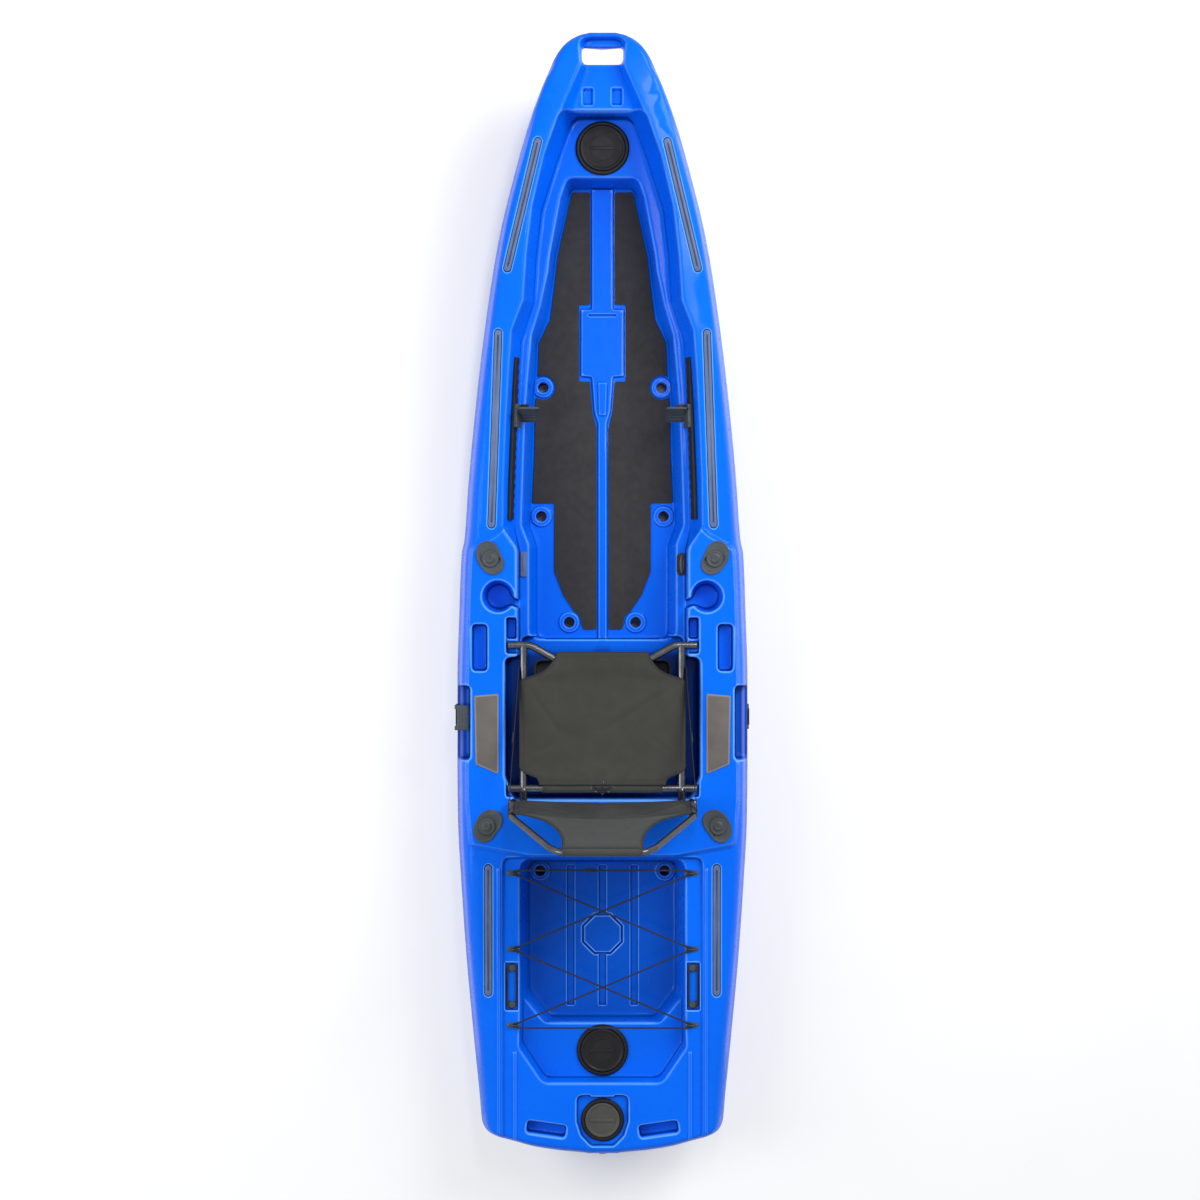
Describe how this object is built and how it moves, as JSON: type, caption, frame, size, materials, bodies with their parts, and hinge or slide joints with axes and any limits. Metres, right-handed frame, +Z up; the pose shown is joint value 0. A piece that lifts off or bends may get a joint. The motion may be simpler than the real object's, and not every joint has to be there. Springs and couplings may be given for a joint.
{
  "type": "fishing kayak",
  "caption": "One-piece sit-on-top fishing kayak with a framed seat, screw hatches, rod holders, gear tracks, foot braces and a rear tank well.",
  "frame": {"origin": "on the ground under the middle of the hull", "axes": "+Y to the bow, +X to starboard, +Z up"},
  "size_m": [0.9746, 3.66, 0.7455],
  "materials": {
    "hull_plastic": "glossy moulded blue",
    "hatch_black": "satin black",
    "hatch_grey": "satin grey",
    "seal_rubber": "matt",
    "track_grey": "anodised slate grey",
    "fitting_grey": "satin slate grey",
    "foam_dark": "matt closed-cell foam",
    "foam_light": "matt closed-cell foam",
    "fitting_black": "satin black",
    "shock_cord": "woven cover",
    "seat_tube": "anodised dark grey",
    "seat_fabric": "woven mesh",
    "back_fabric": "woven mesh",
    "webbing": "woven webbing"
  },
  "bodies": {
    "hull_body": {"hull": "hull_plastic", "bow_hatch_rim": "hatch_black", "rear_hatch_rim": "hatch_black", "stern_hatch_rim": "hatch_black", "gear_track_bow_left": "track_grey", "gear_track_bow_right": "track_grey", "gear_track_middle_left": "track_grey", "gear_track_middle_right": "track_grey", "gear_track_rear_left": "track_grey", "gear_track_rear_right": "track_grey", "rod_holder_front_left": "fitting_grey", "rod_holder_front_right": "fitting_grey", "rod_holder_rear_left": "fitting_grey", "rod_holder_rear_right": "fitting_grey", "floor_pad_left": "foam_dark", "floor_pad_right": "foam_dark", "side_pad_left": "foam_light", "side_pad_right": "foam_light", "seat_tray": "fitting_black", "foot_rail_left": "fitting_black", "foot_rail_right": "fitting_black", "side_handle_anchor_left": "fitting_black", "side_handle_anchor_right": "fitting_black", "pad_eye_front_left": "fitting_grey", "pad_eye_front_right": "fitting_grey", "pad_eye_middle_left": "fitting_grey", "pad_eye_middle_right": "fitting_grey", "pad_eye_rear_left": "fitting_grey", "pad_eye_rear_right": "fitting_grey", "shock_cord": "shock_cord", "cord_hook": "fitting_black", "ledge_plate": "track_grey", "cable_port": "fitting_black"},
    "bow_hatch_seal_body": {"bow_hatch_seal": "seal_rubber"},
    "bow_hatch_lid_body": {"bow_hatch_lid": "hatch_black"},
    "rear_hatch_seal_body": {"rear_hatch_seal": "seal_rubber"},
    "rear_hatch_lid_body": {"rear_hatch_lid": "hatch_black"},
    "stern_hatch_seal_body": {"stern_hatch_seal": "seal_rubber"},
    "stern_hatch_lid_body": {"stern_hatch_lid": "hatch_grey"},
    "rod_cap_front_left_body": {"rod_cap_front_left": "fitting_grey"},
    "rod_cap_front_right_body": {"rod_cap_front_right": "fitting_grey"},
    "rod_cap_rear_left_body": {"rod_cap_rear_left": "fitting_grey"},
    "rod_cap_rear_right_body": {"rod_cap_rear_right": "fitting_grey"},
    "foot_pedal_left_body": {"foot_pedal_left": "fitting_black"},
    "pedal_catch_left_body": {"pedal_catch_left": "fitting_black"},
    "foot_pedal_right_body": {"foot_pedal_right": "fitting_black"},
    "pedal_catch_right_body": {"pedal_catch_right": "fitting_black"},
    "side_handle_left_body": {"side_handle_left": "fitting_grey"},
    "side_handle_right_body": {"side_handle_right": "fitting_grey"},
    "rear_handle_left_body": {"rear_handle_left": "fitting_black"},
    "rear_handle_right_body": {"rear_handle_right": "fitting_black"},
    "drain_plug_body": {"drain_plug": "fitting_black"},
    "seat_body": {"seat_base_frame": "seat_tube", "seat_sling": "seat_fabric", "recline_strap_left": "webbing", "recline_strap_right": "webbing"},
    "seat_back_body": {"seat_back_frame": "seat_tube", "back_sling": "back_fabric"}
  },
  "joints": [
    {"name": "bow_hatch_lift", "type": "slide", "parent": "hull_body", "child": "bow_hatch_seal_body", "axis": [0, 0, 1], "range_m": [0, 0.06]},
    {"name": "bow_hatch_turn", "type": "hinge", "parent": "bow_hatch_seal_body", "child": "bow_hatch_lid_body", "pos_m": [0, 1.48047, 0.2153], "axis": [0, 0, 1], "range_deg": [0, 90]},
    {"name": "rear_hatch_lift", "type": "slide", "parent": "hull_body", "child": "rear_hatch_seal_body", "axis": [0, 0, 1], "range_m": [0, 0.06]},
    {"name": "rear_hatch_turn", "type": "hinge", "parent": "rear_hatch_seal_body", "child": "rear_hatch_lid_body", "pos_m": [0, -1.49328, 0.2223], "axis": [0, 0, 1], "range_deg": [0, 90]},
    {"name": "stern_hatch_lift", "type": "slide", "parent": "hull_body", "child": "stern_hatch_seal_body", "axis": [0, 0, 1], "range_m": [0, 0.06]},
    {"name": "stern_hatch_turn", "type": "hinge", "parent": "stern_hatch_seal_body", "child": "stern_hatch_lid_body", "pos_m": [0, -1.71471, 0.2643], "axis": [0, 0, 1], "range_deg": [0, 90]},
    {"name": "rod_cap_front_left_pull", "type": "slide", "parent": "hull_body", "child": "rod_cap_front_left_body", "axis": [0, 0, 1], "range_m": [0, 0.04]},
    {"name": "rod_cap_front_right_pull", "type": "slide", "parent": "hull_body", "child": "rod_cap_front_right_body", "axis": [0, 0, 1], "range_m": [0, 0.04]},
    {"name": "rod_cap_rear_left_pull", "type": "slide", "parent": "hull_body", "child": "rod_cap_rear_left_body", "axis": [0, 0, 1], "range_m": [0, 0.04]},
    {"name": "rod_cap_rear_right_pull", "type": "slide", "parent": "hull_body", "child": "rod_cap_rear_right_body", "axis": [0, 0, 1], "range_m": [0, 0.04]},
    {"name": "foot_pedal_left_slide", "type": "slide", "parent": "hull_body", "child": "foot_pedal_left_body", "axis": [-0.0351, -0.9994, 0], "range_m": [-0.145, 0.29]},
    {"name": "pedal_catch_left_lift", "type": "hinge", "parent": "foot_pedal_left_body", "child": "pedal_catch_left_body", "pos_m": [-0.2661, 0.62378, 0.26003], "axis": [-0.0351, -0.9994, 0], "range_deg": [0, 15], "stiffness_Nm_per_rad": 1},
    {"name": "foot_pedal_right_slide", "type": "slide", "parent": "hull_body", "child": "foot_pedal_right_body", "axis": [0.0351, -0.9994, 0], "range_m": [-0.145, 0.29]},
    {"name": "pedal_catch_right_lift", "type": "hinge", "parent": "foot_pedal_right_body", "child": "pedal_catch_right_body", "pos_m": [0.2661, 0.62378, 0.26003], "axis": [-0.0351, 0.9994, 0], "range_deg": [0, 15], "stiffness_Nm_per_rad": 1},
    {"name": "side_handle_left_swing", "type": "hinge", "parent": "hull_body", "child": "side_handle_left_body", "pos_m": [-0.483, -0.39528, 0.178], "axis": [0, -1, 0], "range_deg": [0, 170]},
    {"name": "side_handle_right_swing", "type": "hinge", "parent": "hull_body", "child": "side_handle_right_body", "pos_m": [0.483, -0.39528, 0.178], "axis": [0, -1, 0], "range_deg": [0, 170]},
    {"name": "rear_handle_left_swing", "type": "hinge", "parent": "hull_body", "child": "rear_handle_left_body", "pos_m": [-0.3111, -1.27551, 0.2738], "axis": [0, -1, 0], "range_deg": [0, 100]},
    {"name": "rear_handle_right_swing", "type": "hinge", "parent": "hull_body", "child": "rear_handle_right_body", "pos_m": [0.3111, -1.27551, 0.2738], "axis": [0, 1, 0], "range_deg": [0, 100]},
    {"name": "drain_plug_turn", "type": "hinge", "parent": "hull_body", "child": "drain_plug_body", "pos_m": [0, -1.83, 0.236], "axis": [0, -1, 0], "range_deg": [0, 360]},
    {"name": "seat_lift", "type": "slide", "parent": "hull_body", "child": "seat_body", "axis": [0, 0, 1], "range_m": [0, 0.15]},
    {"name": "seat_back_fold", "type": "hinge", "parent": "seat_body", "child": "seat_back_body", "pos_m": [0, -0.668, 0.345], "axis": [-1, 0, 0], "range_deg": [0, 75], "deforming": ["recline_strap_left", "recline_strap_right"]}
  ]
}
